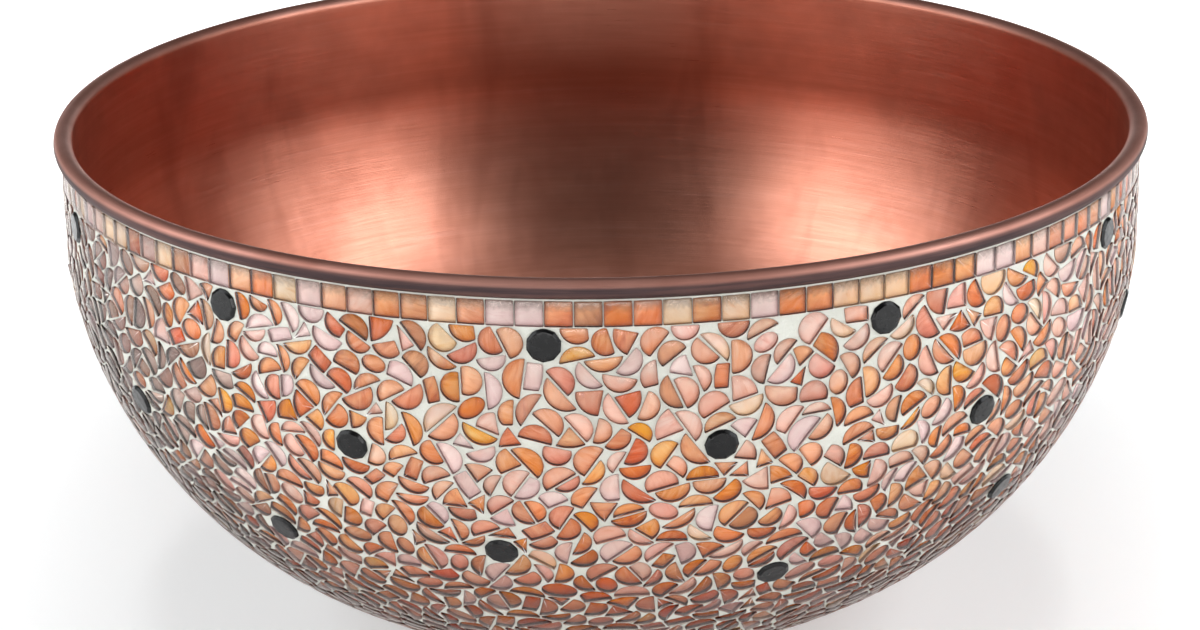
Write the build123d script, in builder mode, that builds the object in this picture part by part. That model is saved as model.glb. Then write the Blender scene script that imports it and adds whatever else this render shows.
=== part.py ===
from build123d import *
import os
import math
import numpy as np
from scipy.spatial import cKDTree

# Mosaic-clad copper bowl. Millimetres, +Z up, origin at the centre of the
# flat base, front of the bowl toward -Y. The bowl is a thin spun copper
# shell with a wired rolled rim; its outside carries a bed of white setting
# mortar, one ring of square tiles under the rim, and a field of hand-cut
# shell chips with round black stones between them.

# ---------------------------------------------------------------- dimensions
RIM_R = 206.0            # outermost radius, at the rolled rim
BEAD_R = 3.56            # outer radius of the rolled rim's section
SHEET = 1.2              # copper thickness
WIRE_R = 2.3             # wire inside the roll
FACE_R = 203.4           # radius of the chip faces on the upright wall
CHIP_T = 1.8             # thickness of chips and tiles
BED_T = 1.5              # thickness of the setting mortar
SEAT = 0.03              # chips stand this far off the bed, no overlap

BEAD_Z = 191.5           # height of the rolled rim's centre
WALL_Z = BEAD_Z - 41.0   # the upright wall turns into the first arc here
ARC1_R = 78.0            # shoulder radius of the chip faces
ARC1_END = math.radians(10.3)
ARC2_R = 166.4           # flank radius
ARC2_END = math.radians(57.8)
FIELD_FOOT_R = 84.0      # the mosaic ends at this radius
FOOT_R = 81.0            # radius of the flat base
FOOT_FILLET = 3.0

N_TILES = 132
TILE_W = 9.22
TILE_H = 8.7
TILE_TOP_Z = BEAD_Z - 4.35
JOINT = 0.72
TILE_JOINT = 0.5

STONE_R = 5.95
STONE_T = 2.5

SEED = 20411
COVERAGE = 0.805         # share of the field the chips cover, joints excluded

# ------------------------------------------------------------------- profile
# The outside is an upright wall and three tangent arcs, the last one centred
# on the axis. Every layer is the same profile offset inward.
BEAD_C = RIM_R - BEAD_R
C1 = np.array([FACE_R - ARC1_R, WALL_Z])


def ray(t):
    return np.array([math.cos(t), -math.sin(t)])


C2 = C1 + (ARC1_R - ARC2_R) * ray(ARC1_END)
ARC3_R = ARC2_R + C2[0] / math.cos(ARC2_END)
C3 = C2 + (ARC2_R - ARC3_R) * ray(ARC2_END)


def arc3_point(off, r):
    """Point of the third arc, offset by off, at radius r from the axis."""
    rr = ARC3_R + off
    return (r, C3[1] - math.sqrt(rr * rr - r * r))


def knot(off, which):
    """Points shared by neighbouring arcs of the profile offset by off."""
    if which == 0:
        return (FACE_R + off, WALL_Z)
    if which == 1:
        p = C1 + (ARC1_R + off) * ray(ARC1_END)
    else:
        p = C2 + (ARC2_R + off) * ray(ARC2_END)
    return (float(p[0]), float(p[1]))


def mid_arc(off, which, end=None):
    """Middle point of arc 1, 2 or 3 of the profile offset by off."""
    if which == 1:
        p = C1 + (ARC1_R + off) * ray(ARC1_END / 2)
    elif which == 2:
        p = C2 + (ARC2_R + off) * ray((ARC1_END + ARC2_END) / 2)
    else:
        t_end = math.acos(end / (ARC3_R + off))
        p = C3 + (ARC3_R + off) * ray((ARC2_END + t_end) / 2)
    return (float(p[0]), float(p[1]))


COPPER_OUT = -(CHIP_T + BED_T)
COPPER_IN = COPPER_OUT - SHEET
BED_OUT = -CHIP_T

# arc length s runs down the bed surface from s = 0 at the tile tops
L0 = TILE_TOP_Z - WALL_Z
L1 = (ARC1_R + BED_OUT) * ARC1_END
L2 = (ARC2_R + BED_OUT) * (ARC2_END - ARC1_END)


def surface(s):
    """Radius, height and outward normal (radial, vertical) of the bed at s."""
    s = np.asarray(s, float)
    r1, r2, r3 = ARC1_R + BED_OUT, ARC2_R + BED_OUT, ARC3_R + BED_OUT
    t = np.where(
        s < L0, 0.0,
        np.where(s < L0 + L1, (s - L0) / r1,
                 np.where(s < L0 + L1 + L2, ARC1_END + (s - L0 - L1) / r2,
                          ARC2_END + (s - L0 - L1 - L2) / r3)))
    cx = np.where(s < L0 + L1, C1[0], np.where(s < L0 + L1 + L2, C2[0], C3[0]))
    cz = np.where(s < L0 + L1, C1[1], np.where(s < L0 + L1 + L2, C2[1], C3[1]))
    rr = np.where(s < L0 + L1, r1, np.where(s < L0 + L1 + L2, r2, r3))
    r = cx + rr * np.cos(t)
    z = np.where(s < L0, TILE_TOP_Z - s, cz - rr * np.sin(t))
    return r, z, np.cos(t), -np.sin(t)


def s_at_height(z):
    s = np.linspace(0, 260, 26001)
    return float(np.interp(-z, -surface(s)[1], s))


def s_at_radius(r):
    s = np.linspace(L0 + L1, 260, 26001)
    return float(np.interp(-r, -surface(s)[0], s))


def frames(s, phi):
    """Point, downhill and sideways unit vectors and normal; phi 0 = front."""
    r, z, nr, nz = surface(s)
    sp, cp = np.sin(phi), np.cos(phi)
    p = np.stack([r * sp, -r * cp, z], -1)
    n = np.stack([nr * sp, -nr * cp, nz], -1)
    side = np.stack([cp, sp, 0 * sp], -1)
    down = np.stack([nz * sp, -nz * cp, -nr], -1)
    return p, side, down, n


# ------------------------------------------------------------- chip outlines
# An outline is a list of ("line", p, q) and ("arc", p, m, q) edges around
# its own centre, or ("ellipse", a, b).

def half_moon(chord, rise, skew):
    y0 = 0.43 * rise
    p, q = (-chord / 2, -y0), (chord / 2, -y0)
    return [("line", p, q), ("arc", q, (skew * chord, rise - y0), p)]


def clipped_moon(chord, rise, cut):
    """A half moon with one end nipped off square."""
    y0 = 0.43 * rise
    rad = (chord * chord / 4 + rise * rise) / (2 * rise)
    cy = rise - rad
    x = chord / 2 - cut
    top = cy + math.sqrt(rad * rad - x * x)
    lean = 0.25 * cut
    p, q = (-chord / 2, -y0), (x - lean, -y0)
    half = (x - chord / 2) / 2
    mid = (half, cy + math.sqrt(rad * rad - half * half) - y0)
    return [("line", p, q), ("line", q, (x, top - y0)), ("arc", (x, top - y0), mid, p)]


def wedge(radius, spread, skew):
    a = radius
    x0, y0 = 0.52 * a * math.cos(spread / 2), 0.52 * a * math.sin(spread / 2)
    m = (1.0 + skew * 0.3) * a
    o = (-x0, -y0)
    p = (a - x0, -y0)
    q = (a * math.cos(spread) - x0, a * math.sin(spread) - y0)
    mid = (m * math.cos(spread / 2) - x0, m * math.sin(spread / 2) - y0)
    return [("line", o, p), ("arc", p, mid, q), ("line", q, o)]


def slab(length, width, skew):
    a, b = length / 2, width / 2
    p = [(-a, -b), (a * (1 - abs(skew)), -b), (a, b), (-a * 0.92, b * 0.94)]
    return [("line", p[0], p[1]), ("line", p[1], p[2]),
            ("arc", p[2], (0.0, b * 1.16), p[3]), ("line", p[3], p[0])]


def sliver(length, width, skew):
    a, b = length / 2, width
    p = [(-a, -b / 3), (a, -b / 3), (skew * a, 2 * b / 3)]
    return [("line", p[0], p[1]), ("line", p[1], p[2]), ("line", p[2], p[0])]


def circle_through(p, m, q):
    ax, ay, bx, by, cx, cy = *p, *m, *q
    d = 2 * (ax * (by - cy) + bx * (cy - ay) + cx * (ay - by))
    ux = ((ax * ax + ay * ay) * (by - cy) + (bx * bx + by * by) * (cy - ay)
          + (cx * cx + cy * cy) * (ay - by)) / d
    uy = ((ax * ax + ay * ay) * (cx - bx) + (bx * bx + by * by) * (ax - cx)
          + (cx * cx + cy * cy) * (bx - ax)) / d
    return ux, uy


def sample(outline, n=44):
    """Points around an outline, counter-clockwise, evenly spaced per edge."""
    if outline[0][0] == "ellipse":
        t = np.arange(n) * 2 * math.pi / n
        return np.stack([outline[0][1] * np.cos(t), outline[0][2] * np.sin(t)], 1)
    runs = []
    for e in outline:
        if e[0] == "line":
            p, q = np.array(e[1]), np.array(e[2])
            k = max(2, int(round(np.hypot(*(q - p)) / 0.7)))
            w = np.arange(k)[:, None] / k
            runs.append(p + (q - p) * w)
        else:
            ux, uy = circle_through(e[1], e[2], e[3])
            rad = math.hypot(e[1][0] - ux, e[1][1] - uy)
            a0 = math.atan2(e[1][1] - uy, e[1][0] - ux)
            a1 = math.atan2(e[3][1] - uy, e[3][0] - ux)
            while a1 <= a0:
                a1 += 2 * math.pi
            k = max(3, int(round(rad * (a1 - a0) / 0.7)))
            t = a0 + (a1 - a0) * np.arange(k) / k
            runs.append(np.stack([ux + rad * np.cos(t), uy + rad * np.sin(t)], 1))
    return np.concatenate(runs)


def area_of(pts):
    x, y = pts[:, 0], pts[:, 1]
    return 0.5 * abs(np.dot(x, np.roll(y, -1)) - np.dot(y, np.roll(x, -1)))


def discs_of(pts, count=19):
    """Small discs lining the inside of an outline: x, y, radius."""
    nxt, prv = np.roll(pts, -1, 0), np.roll(pts, 1, 0)
    tan = nxt - prv
    tan /= np.hypot(tan[:, 0], tan[:, 1])[:, None]
    inn = np.stack([-tan[:, 1], tan[:, 0]], 1)
    e1, e2 = pts - prv, nxt - pts
    turn = np.abs(np.arctan2(e1[:, 0] * e2[:, 1] - e1[:, 1] * e2[:, 0],
                             (e1 * e2).sum(1)))
    corners = np.where(turn > 0.6)[0]
    step = np.hypot(*(nxt - pts).T)
    along = np.concatenate([[0], np.cumsum(step)])
    total = along[-1]
    out = [(*(pts[i] + inn[i] * 0.34 / max(0.35, math.sin((math.pi - turn[i]) / 2))), 0.32)
           for i in corners]
    k = count - len(out)
    start = along[corners[0]] if len(corners) else 0.0
    for u in (start + (np.arange(k) + 0.5) * total / k) % total:
        i = int(np.searchsorted(along, u, side="right") - 1) % len(pts)
        near = min([min(abs(u - along[c]), total - abs(u - along[c]))
                    for c in corners], default=9.0)
        rad = 0.9 if near > 1.3 else 0.62
        out.append((*(pts[i] + inn[i] * rad), rad))
    return np.array(out)


# ------------------------------------------------------------ packing layout
# Chips are thrown on at random, small, then grown while they push each other
# apart; each one keeps growing where there is room and gives way where there
# is not, which closes the field up the way hand-laid pieces do.

def stone_places():
    """Black stones: three staggered rings, eleven or so to a ring."""
    rings = [
        (-19.3, [-39.1, -5.5, 27.4, 61.9, 94.6, 127.0, 160.1, 193.0, 225.6, 258.3, 290.4]),
        (-60.4, [-25.0, 11.0, 40.4, 74.0, 106.5, 140.0, 173.2, 205.8, 238.5, 271.0, 303.4]),
        (-107.0, [-38.1, -11.0, 18.8, 50.5, 82.0, 113.6, 145.0, 176.8, 208.4, 240.6, 284.0]),
    ]
    drop = {(-39.1, 0): -19.6, (-5.5, 0): -19.1, (27.4, 0): -19.5, (61.9, 0): -18.4,
            (-25.0, 1): -61.0, (11.0, 1): -56.5, (40.4, 1): -63.5, (303.4, 1): -72.0,
            (-38.1, 2): -106.8, (-11.0, 2): -99.9, (18.8, 2): -115.8}
    rng = np.random.default_rng(7)
    places = []
    for ring, (height, angles) in enumerate(rings):
        for a in angles:
            h = drop.get((a, ring), height + rng.uniform(-4.0, 4.0) * (0.35 if ring == 0 else 1))
            if ring == 0:
                # the top ring sits just under the tiles, clear of them
                h = min(h, TILE_TOP_Z - TILE_H - 0.45 - STONE_R - BEAD_Z)
            places.append((s_at_height(BEAD_Z + h), math.radians(a)))
    return np.array(places)


KINDS = ["half_moon", "clipped_moon", "full_moon", "segment", "wedge", "slab", "oval", "sliver"]
SHARE = [0.30, 0.12, 0.10, 0.25, 0.09, 0.05, 0.05, 0.04]


def draw_outline(kind, rng):
    u, v, w = rng.uniform(-1, 1, 3)
    if kind == "half_moon":
        return half_moon(11.3 + 0.9 * u, 6.1 + 0.6 * v, 0.05 * w)
    if kind == "clipped_moon":
        return clipped_moon(12.0 + 0.8 * u, 6.1 + 0.5 * v, 2.0 + 0.7 * w)
    if kind == "full_moon":
        return half_moon(9.9 + 0.7 * u, 7.4 + 0.6 * v, 0.05 * w)
    if kind == "segment":
        return half_moon(11.9 + 1.0 * u, 4.8 + 0.5 * v, 0.08 * w)
    if kind == "wedge":
        return wedge(8.4 + 0.8 * u, math.radians(74 + 14 * v), 0.3 * w)
    if kind == "slab":
        return slab(9.4 + 1.2 * u, 5.2 + 0.6 * v, 0.22 * w)
    if kind == "oval":
        return [("ellipse", 5.0 + 0.6 * u, 3.5 + 0.4 * v)]
    return sliver(7.4 + 1.0 * u, 4.6 + 0.5 * v, 0.7 * w)


def scaled(outline, k):
    if outline[0][0] == "ellipse":
        return [("ellipse", outline[0][1] * k, outline[0][2] * k)]
    return [(e[0], *[(p[0] * k, p[1] * k) for p in e[1:]]) for e in outline]


S_TOP = s_at_height(TILE_TOP_Z - TILE_H) + TILE_JOINT
S_END = s_at_radius(FIELD_FOOT_R)


def pack_chips(steps=480):
    rng = np.random.default_rng(SEED)
    ss = np.linspace(S_TOP, S_END, 2001)
    rr = surface(ss)[0]
    cum = np.concatenate([[0], np.cumsum((rr[1:] + rr[:-1]) / 2 * np.diff(ss))])
    field = 2 * math.pi * cum[-1]
    stones = stone_places()
    field -= len(stones) * math.pi * (STONE_R + JOINT / 2) ** 2
    # draw chips until their area fills the field
    outlines, kinds, total = [], [], 0.0
    while total < COVERAGE * field * 0.93:
        kind = KINDS[int(np.searchsorted(np.cumsum(SHARE), rng.uniform() * 0.99999))]
        o = draw_outline(kind, rng)
        outlines.append(o)
        kinds.append(kind)
        total += area_of(sample(o))
    n = len(outlines)
    discs = np.stack([discs_of(sample(o)) for o in outlines])
    m = discs.shape[1]
    reach = np.hypot(discs[..., 0], discs[..., 1])
    gyr = (reach ** 2).mean(1)
    # even random start, by area
    s = np.interp(rng.uniform(size=n) * cum[-1], cum, ss)
    phi = rng.uniform(-math.pi, math.pi, n)
    # half of the moons start back to back with a partner
    moons = [i for i in range(n) if kinds[i] in ("half_moon", "clipped_moon", "segment")]
    th = rng.uniform(-math.pi, math.pi, n)
    for a, b in zip(moons[0::4], moons[1::4]):
        th[b] = th[a] + math.pi
        gap = 2.6
        r = surface(s[a])[0]
        phi[b] = phi[a] + gap * math.sin(th[a]) / r
        s[b] = s[a] - gap * math.cos(th[a]) * -1.0
    k = np.full(n, 0.35)
    stone_p = frames(stones[:, 0], stones[:, 1])[0]
    ns = len(stones)
    owner = np.concatenate([np.repeat(np.arange(n), m), n + np.arange(ns)])
    base_r = np.concatenate([discs[..., 2].ravel(), np.full(ns, STONE_R)])
    for it in range(steps):
        w = it / steps
        goal = min(1.0, 0.35 + 0.65 * w / 0.35)
        k = np.where(k < goal, np.minimum(goal, k + 0.02), k) if w < 0.45 else k
        p, side, down, nrm = frames(s, phi)
        c, sn = np.cos(th), np.sin(th)
        lx = (discs[..., 0] * c[:, None] - discs[..., 1] * sn[:, None]) * k[:, None]
        ly = (discs[..., 0] * sn[:, None] + discs[..., 1] * c[:, None]) * k[:, None]
        q = p[:, None] + lx[..., None] * side[:, None] + ly[..., None] * down[:, None]
        allp = np.concatenate([q.reshape(-1, 3), stone_p])
        rad = base_r.copy()
        rad[:n * m] *= np.repeat(k, m)
        tree = cKDTree(allp)
        pairs = tree.query_pairs(2 * 0.9 * float(k.max()) + JOINT, output_type="ndarray")
        extra = []
        near = tree.query_ball_point(stone_p, STONE_R + 0.9 * float(k.max()) + JOINT)
        for j, lst in enumerate(near):
            lst = np.array([x for x in sorted(lst) if x < n * m], int)
            extra.append(np.stack([lst, np.full(len(lst), n * m + j)], 1))
        extra = np.concatenate(extra)
        pairs = pairs[(pairs < n * m).all(1)]
        pairs = np.concatenate([pairs, extra])
        a, b = pairs[:, 0], pairs[:, 1]
        oa, ob = owner[a], owner[b]
        keep = oa != ob
        a, b, oa, ob = a[keep], b[keep], oa[keep], ob[keep]
        d = allp[a] - allp[b]
        dist = np.sqrt((d * d).sum(1)) + 1e-9
        over = rad[a] + rad[b] + JOINT - dist
        keep = over > 0
        a, b, oa, ob, d, dist, over = (x[keep] for x in (a, b, oa, ob, d, dist, over))
        f = d * (over / dist)[:, None]
        fx = np.zeros(n + ns)
        fy = np.zeros(n + ns)
        tq = np.zeros(n + ns)
        pr = np.zeros(n + ns)
        flat_lx = np.concatenate([lx.ravel(), np.zeros(ns)])
        flat_ly = np.concatenate([ly.ravel(), np.zeros(ns)])
        side_all = np.concatenate([side, np.zeros((ns, 3))])
        down_all = np.concatenate([down, np.zeros((ns, 3))])
        for idx, o, sign in ((a, oa, 1.0), (b, ob, -1.0)):
            gx = sign * (f * side_all[o]).sum(1)
            gy = sign * (f * down_all[o]).sum(1)
            fx += np.bincount(o, gx, n + ns)
            fy += np.bincount(o, gy, n + ns)
            tq += np.bincount(o, flat_lx[idx] * gy - flat_ly[idx] * gx, n + ns)
            pr += np.bincount(o, over, n + ns)
        # walls at the tile ring and at the foot
        sd = s[:, None] + ly
        rd = discs[..., 2] * k[:, None]
        top = np.maximum(0, S_TOP + rd - sd)
        bot = np.maximum(0, sd + rd - (S_END - 0.5))
        wy = (top - bot)
        fy[:n] += 2 * wy.sum(1)
        tq[:n] += (lx * 2 * wy).sum(1)
        pr[:n] += 2 * (top + bot).sum(1)
        gain = 0.34 if w < 0.8 else 0.24
        dx = np.clip(gain * fx[:n], -0.8, 0.8)
        dy = np.clip(gain * fy[:n], -0.8, 0.8)
        dt = np.clip(gain * tq[:n] / (gyr * k * k), -0.14, 0.14)
        if 0.05 < w < 0.7:
            shake = 0.10 * (1 - w)
            dx = dx + rng.normal(0, shake, n)
            dy = dy + rng.normal(0, shake, n)
            dt = dt + rng.normal(0, shake * 0.25, n)
        r_here = surface(s)[0]
        s = np.clip(s + dy, S_TOP + 1.5, S_END - 1.5)
        phi = phi + dx / r_here
        th = th + dt
        if w > 0.35:
            load = pr[:n]
            grow = 1.006 if w < 0.88 else 1.0
            k = np.where(load < 0.12, k * grow, np.where(load > 0.55, k * 0.993, k))
            k = np.clip(k, 0.70, 1.28)
        s, phi, th, k = (np.round(x, 7) for x in (s, phi, th, k))
    return outlines, kinds, s, phi, th, k, stones, field


def outline_points(outlines, s, phi, th, k):
    """Every chip's outline as points in space on the bed, and their owners."""
    p, side, down, nrm = frames(s, phi)
    pts, own = [], []
    for i, o in enumerate(outlines):
        q = sample(o) * k[i]
        c, sn = math.cos(th[i]), math.sin(th[i])
        x, y = q[:, 0] * c - q[:, 1] * sn, q[:, 0] * sn + q[:, 1] * c
        pts.append(p[i] + x[:, None] * side[i] + y[:, None] * down[i])
        own.append(np.full(len(q), i))
    return np.concatenate(pts), np.concatenate(own)


def stacked(outlines, s, phi, th, k):
    """Chips that ended up on top of another one, to be left out."""
    p = frames(s, phi)[0]
    pts, own = outline_points(outlines, s, phi, th, k)
    out = set()
    for i, hits in enumerate(cKDTree(pts).query_ball_point(p, 1.7)):
        for j in sorted({int(own[h]) for h in hits} - {i}):
            if i not in out and j not in out:
                out.add(i if k[i] < k[j] else j)
    return out


def relieve(outlines, s, phi, th, k, stones, least=0.38):
    """Trim chips that ended up closer than `least` to a neighbour."""
    stone_p = frames(stones[:, 0], stones[:, 1])[0]
    for _ in range(30):
        pts, own = outline_points(outlines, s, phi, th, k)
        tree = cKDTree(pts)
        pairs = tree.query_pairs(least, output_type="ndarray")
        a, b = own[pairs[:, 0]], own[pairs[:, 1]]
        clash = a != b
        bad = np.unique(np.concatenate([a[clash], b[clash]]))
        hit = [own[x] for x in tree.query_ball_point(stone_p, STONE_R + least)]
        bad = np.unique(np.concatenate([bad, *hit]))
        if not len(bad):
            break
        k = k.copy()
        k[bad] = np.round(k[bad] * 0.985, 7)
    return k


# -------------------------------------------------------------- copper basin
# One spun sheet: flat base, foot step, three-arc flank, upright wall, and the
# rim rolled outward round a wire until its edge nearly meets the wall again.
FOOT_TOP_R = FIELD_FOOT_R - 1.2


def wall_line(off):
    """From the foot corner up the three arcs to the rim, offset by off."""
    foot = arc3_point(off, FOOT_TOP_R + (off - COPPER_OUT))
    ThreePointArc(foot, mid_arc(off, 3, foot[0]), knot(off, 2))
    ThreePointArc(knot(off, 2), mid_arc(off, 2), knot(off, 1))
    ThreePointArc(knot(off, 1), mid_arc(off, 1), knot(off, 0))
    Line(knot(off, 0), (FACE_R + off, BEAD_Z))
    return foot


def on_bead(radius, degrees):
    a = math.radians(degrees)
    return (BEAD_C + radius * math.cos(a), BEAD_Z + radius * math.sin(a))


ROLL_END = -120.0
with BuildPart() as copper_basin:
    with BuildSketch(Plane.XZ):
        with BuildLine():
            foot_out = wall_line(COPPER_OUT)
            foot_in = wall_line(COPPER_IN)
            inner, outer = BEAD_R - SHEET, BEAD_R
            # the roll starts tangent to the inside of the wall
            ThreePointArc((FACE_R + COPPER_IN, BEAD_Z), on_bead(outer, 30), on_bead(outer, ROLL_END))
            Line(on_bead(outer, ROLL_END), on_bead(inner, ROLL_END))
            ThreePointArc(on_bead(inner, ROLL_END), on_bead(inner, 30), (FACE_R + COPPER_OUT, BEAD_Z))
            # foot step and flat base
            fr = FOOT_FILLET
            Line(foot_out, (FOOT_R, fr))
            ThreePointArc((FOOT_R, fr), (FOOT_R - fr + fr * math.cos(math.pi / 4),
                                         fr - fr * math.sin(math.pi / 4)), (FOOT_R - fr, 0))
            Line((FOOT_R - fr, 0), (0, 0))
            Line((0, 0), (0, SHEET))
            fi = fr - SHEET
            Line((0, SHEET), (FOOT_R - fr, SHEET))
            ThreePointArc((FOOT_R - fr, SHEET), (FOOT_R - fr + fi * math.cos(math.pi / 4),
                                                 fr - fi * math.sin(math.pi / 4)), (FOOT_R - SHEET, fr))
            Line((FOOT_R - SHEET, fr), foot_in)
        make_face()
    revolve(axis=Axis.Z)

with BuildPart() as rim_wire:
    with BuildSketch(Plane.XZ):
        with Locations((BEAD_C, BEAD_Z)):
            Circle(WIRE_R)
    revolve(axis=Axis.Z)

# ------------------------------------------------------------ setting mortar
# A coat of even thickness, with a raised bead of grout under the rim and
# another round the foot that close the mosaic off at both edges.
BED_TOP_Z = BEAD_Z - 3.66
RIB_W = 0.6
with BuildPart() as setting_mortar:
    with BuildSketch(Plane.XZ):
        with BuildLine():
            foot_a = arc3_point(COPPER_OUT, FIELD_FOOT_R - 0.9)
            foot_b = arc3_point(-0.7, FIELD_FOOT_R - 0.3)
            foot_c = arc3_point(BED_OUT, FIELD_FOOT_R + 0.1)
            ThreePointArc(foot_a, mid_arc(COPPER_OUT, 3, foot_a[0]), knot(COPPER_OUT, 2))
            ThreePointArc(knot(COPPER_OUT, 2), mid_arc(COPPER_OUT, 2), knot(COPPER_OUT, 1))
            ThreePointArc(knot(COPPER_OUT, 1), mid_arc(COPPER_OUT, 1), knot(COPPER_OUT, 0))
            top_r = FACE_R - 0.5
            Polyline(knot(COPPER_OUT, 0), (FACE_R + COPPER_OUT, BED_TOP_Z), (top_r, BED_TOP_Z),
                     (top_r, BED_TOP_Z - RIB_W), (FACE_R + BED_OUT, BED_TOP_Z - RIB_W),
                     knot(BED_OUT, 0))
            ThreePointArc(knot(BED_OUT, 0), mid_arc(BED_OUT, 1), knot(BED_OUT, 1))
            ThreePointArc(knot(BED_OUT, 1), mid_arc(BED_OUT, 2), knot(BED_OUT, 2))
            ThreePointArc(knot(BED_OUT, 2), mid_arc(BED_OUT, 3, foot_c[0]), foot_c)
            Polyline(foot_c, foot_b, foot_a)
        make_face()
    revolve(axis=Axis.Z)

# --------------------------------------------------------------- the mosaic
outlines, kinds, chip_s, chip_phi, chip_th, chip_k, stones, _ = pack_chips()
hidden = stacked(outlines, chip_s, chip_phi, chip_th, chip_k)
kept = [i for i in range(len(outlines)) if i not in hidden]
outlines, kinds = [outlines[i] for i in kept], [kinds[i] for i in kept]
chip_s, chip_phi, chip_th, chip_k = (v[kept] for v in (chip_s, chip_phi, chip_th, chip_k))
chip_k = relieve(outlines, chip_s, chip_phi, chip_th, chip_k, stones)


def seat_plane(s, phi, turn=0.0):
    """Plane on the bed at s, phi; its x axis turned from sideways to downhill."""
    p, side, down, n = (v[0] for v in frames(np.array([s]), np.array([phi])))
    x = math.cos(turn) * side + math.sin(turn) * down
    # sideways, downhill and the outward normal are left-handed, so y runs uphill
    return Plane(origin=tuple(p + SEAT * n), x_dir=tuple(x), z_dir=tuple(n))


def trace(outline):
    """Draw an outline's edges, mirrored in y to match the plane's hand."""
    for e in outline:
        q = [(p[0], -p[1]) for p in e[1:]]
        if e[0] == "line":
            Line(*q)
        else:
            ThreePointArc(*q)


TINTS = ["peach", "apricot", "coral", "blush", "pearl", "cream", "amber", "umber"]
TINT_SHARE = [0.25, 0.21, 0.13, 0.15, 0.11, 0.05, 0.06, 0.04]
TAUPE_SHARE = 0.50       # in the patch on the left flank only
FIVE = {"cream": "pearl", "amber": "apricot", "umber": "coral"}
FOUR = {"cream": "blush", "pearl": "blush", "amber": "apricot", "umber": "coral",
        "taupe": "coral"}
FAMILY = {
    "half_moon": ("half_moons", {}), "full_moon": ("half_moons", {}),
    "clipped_moon": ("half_moons", {}),
    "segment": ("segments", {}), "wedge": ("wedges", FIVE), "sliver": ("wedges", FIVE),
    "slab": ("slabs", {**FIVE, "taupe": "coral"}), "oval": ("ovals", FOUR),
}
tint_rng = np.random.default_rng(SEED + 1)
draws = np.searchsorted(np.cumsum(TINT_SHARE), tint_rng.uniform(size=len(outlines)) * 0.99999)
taupe_draws = tint_rng.uniform(size=len(outlines))
groups = {}
for i, kind in enumerate(kinds):
    family, fold = FAMILY[kind]
    tint = TINTS[int(draws[i])]
    # a drift of smoky taupe shell on the left flank
    a = math.degrees(math.remainder(chip_phi[i], 2 * math.pi))
    z = float(surface(chip_s[i])[1]) - BEAD_Z
    drift = math.exp(-((a + 60) / 17) ** 4 - ((z + 75) / 48) ** 4)
    if taupe_draws[i] < TAUPE_SHARE * drift and tint != "amber":
        tint = "taupe"
    groups.setdefault(family + "_" + fold.get(tint, tint), []).append(i)

chips = {}
for group_name in sorted(groups):
    with BuildPart() as chip_group:
        for i in groups[group_name]:
            shape = scaled(outlines[i], chip_k[i])
            with BuildSketch(seat_plane(chip_s[i], chip_phi[i], chip_th[i])):
                if shape[0][0] == "ellipse":
                    Ellipse(shape[0][1], shape[0][2])
                else:
                    with BuildLine():
                        trace(shape)
                    make_face()
        extrude(amount=CHIP_T)
    chips[group_name] = chip_group

# --------------------------------------------------------------- tile border
TILE_TINTS = ["blush", "peach", "cream", "apricot", "pearl", "umber"]
TILE_SHARE = [0.22, 0.27, 0.16, 0.17, 0.10, 0.08]
tile_rng = np.random.default_rng(SEED + 2)
tile_groups = {t: [] for t in TILE_TINTS}
last = None
for j in range(N_TILES):
    pick = int(np.searchsorted(np.cumsum(TILE_SHARE), tile_rng.uniform() * 0.99999))
    dw, dh, lean = tile_rng.uniform(-1, 1, 3)
    tile_groups[TILE_TINTS[pick]].append((j, dw, dh, lean))

tiles = {}
for tint in TILE_TINTS:
    with BuildPart() as tile_group:
        for j, dw, dh, lean in tile_groups[tint]:
            at = seat_plane(TILE_H / 2, 2 * math.pi * (j + 0.5) / N_TILES, 0.008 * lean)
            with BuildSketch(at):
                Rectangle(TILE_W + 0.12 * dw, TILE_H + 0.12 * dh)
        extrude(amount=CHIP_T)
    tiles["border_tiles_" + tint] = tile_group

# -------------------------------------------------------------- black stones
with BuildPart() as black_stones:
    for j, (s, phi) in enumerate(stones):
        with BuildSketch(seat_plane(s, phi, 0.37 * j)):
            RegularPolygon(STONE_R, 10)
    extrude(amount=STONE_T)
    tops = [f.edges() for solid in black_stones.solids()
            for f in [max(solid.faces(), key=lambda g: g.center().length)]]
    chamfer([e for group in tops for e in group], 0.75)

# -------------------------------------------------------------------- export
os.makedirs("parts", exist_ok=True)
pieces = {"copper_basin": copper_basin, "rim_wire": rim_wire,
          "setting_mortar": setting_mortar, "black_stones": black_stones,
          **tiles, **chips}
for node_name, piece in pieces.items():
    piece.part.label = node_name
    export_step(piece.part, "parts/" + node_name + ".step")
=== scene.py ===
import math

import bmesh
import bpy
import numpy as np
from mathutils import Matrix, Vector


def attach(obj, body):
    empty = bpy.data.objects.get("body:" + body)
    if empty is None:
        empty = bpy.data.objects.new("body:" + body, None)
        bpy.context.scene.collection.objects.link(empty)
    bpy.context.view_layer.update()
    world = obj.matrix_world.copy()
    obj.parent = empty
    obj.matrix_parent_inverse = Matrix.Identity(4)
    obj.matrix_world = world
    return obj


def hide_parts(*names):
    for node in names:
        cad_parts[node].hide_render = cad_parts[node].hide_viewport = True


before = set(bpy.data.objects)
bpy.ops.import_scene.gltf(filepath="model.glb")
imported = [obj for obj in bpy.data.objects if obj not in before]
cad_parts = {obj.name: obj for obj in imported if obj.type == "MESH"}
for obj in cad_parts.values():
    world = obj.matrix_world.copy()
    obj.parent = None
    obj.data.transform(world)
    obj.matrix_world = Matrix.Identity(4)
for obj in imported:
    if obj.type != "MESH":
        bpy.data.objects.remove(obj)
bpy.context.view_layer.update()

MM = 0.001
scene = bpy.context.scene

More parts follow.
